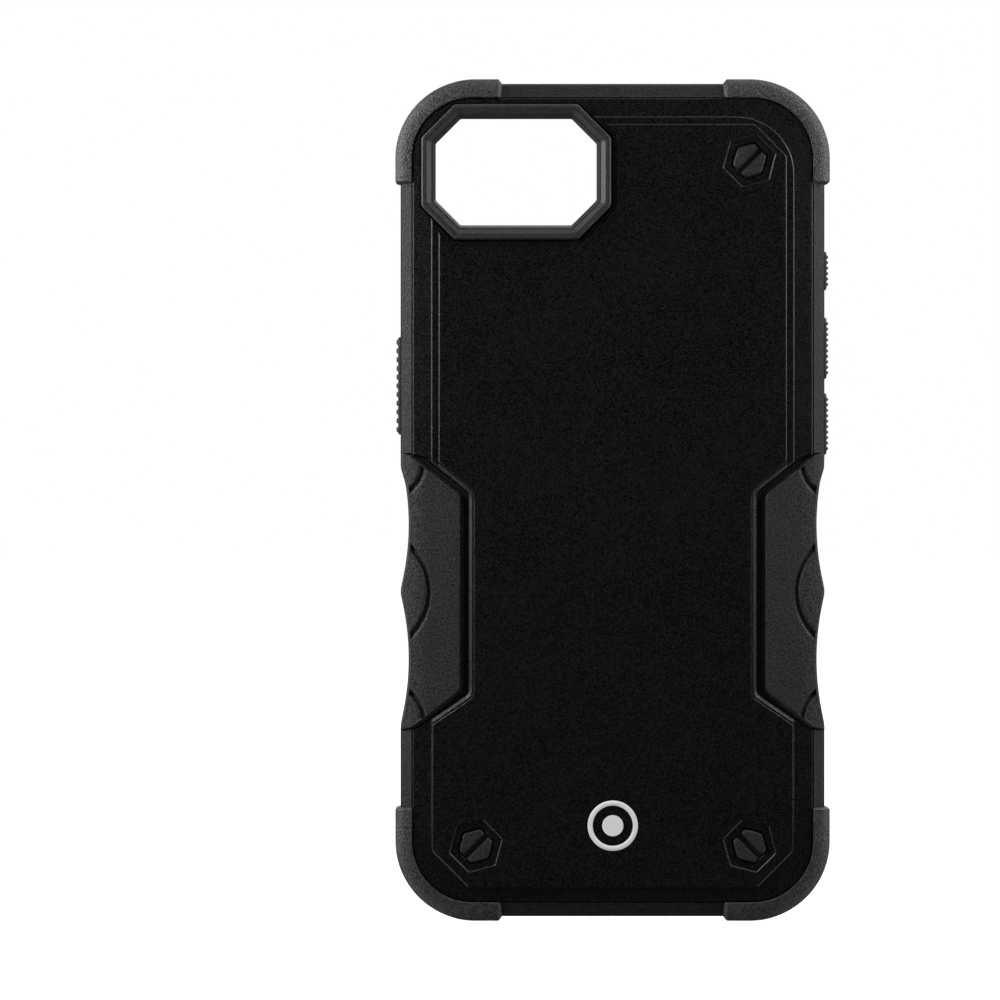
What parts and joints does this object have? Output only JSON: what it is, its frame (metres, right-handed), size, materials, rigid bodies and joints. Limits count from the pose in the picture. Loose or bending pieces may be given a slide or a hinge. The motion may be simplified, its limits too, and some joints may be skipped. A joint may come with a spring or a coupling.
{
  "type": "phone case",
  "caption": "Rugged two-layer case for a flat phone: soft sleeve with lip, hard back shell, corner bumpers, side grips, camera ring and push-through side buttons.",
  "frame": {"origin": "middle of the case's outline in X and Y, on the surface that its lower end stands on", "axes": "+Z along the length towards the camera end, +Y from the closed back to the open front, +X to the right when the back is looked at"},
  "size_m": [0.0794, 0.0126, 0.154],
  "materials": {
    "soft_sleeve": "fine matte grain, slightly warm black",
    "hard_shell": "smooth satin black with a very fine grain",
    "ring_plastic": "satin charcoal with bright edges",
    "grip_rubber": "leather-like moulded grain",
    "bumper_rubber": "fine matte grain",
    "stud_rubber": "matte",
    "badge_print": "silver-grey print",
    "button_rubber": "matte, ribbed",
    "web_rubber": "matte"
  },
  "bodies": {
    "case": {"inner_sleeve": "soft_sleeve", "outer_shell": "hard_shell", "camera_ring": "ring_plastic", "grip_left": "grip_rubber", "grip_right": "grip_rubber", "bumper_top_left": "bumper_rubber", "bumper_top_right": "bumper_rubber", "bumper_bottom_left": "bumper_rubber", "bumper_bottom_right": "bumper_rubber", "stud_pair_top_right": "stud_rubber", "stud_pair_bottom_left": "stud_rubber", "stud_pair_bottom_right": "stud_rubber", "badge": "badge_print", "action_button_web": "web_rubber", "volume_up_web": "web_rubber", "volume_down_web": "web_rubber", "side_button_web": "web_rubber"},
    "action_button": {"action_button": "button_rubber"},
    "volume_up_button": {"volume_up_button": "button_rubber"},
    "volume_down_button": {"volume_down_button": "button_rubber"},
    "side_button": {"side_button": "button_rubber"}
  },
  "joints": [
    {"name": "action_press", "type": "slide", "parent": "case", "child": "action_button", "axis": [-1, 0, 0], "range_m": [0, 0.0004], "stiffness_N_per_m": 1500, "deforming": ["action_button_web"]},
    {"name": "volume_up_press", "type": "slide", "parent": "case", "child": "volume_up_button", "axis": [-1, 0, 0], "range_m": [0, 0.0004], "stiffness_N_per_m": 1500, "deforming": ["volume_up_web"]},
    {"name": "volume_down_press", "type": "slide", "parent": "case", "child": "volume_down_button", "axis": [-1, 0, 0], "range_m": [0, 0.0004], "stiffness_N_per_m": 1500, "deforming": ["volume_down_web"]},
    {"name": "side_press", "type": "slide", "parent": "case", "child": "side_button", "axis": [1, 0, 0], "range_m": [0, 0.0004], "stiffness_N_per_m": 1500, "deforming": ["side_button_web"]}
  ]
}
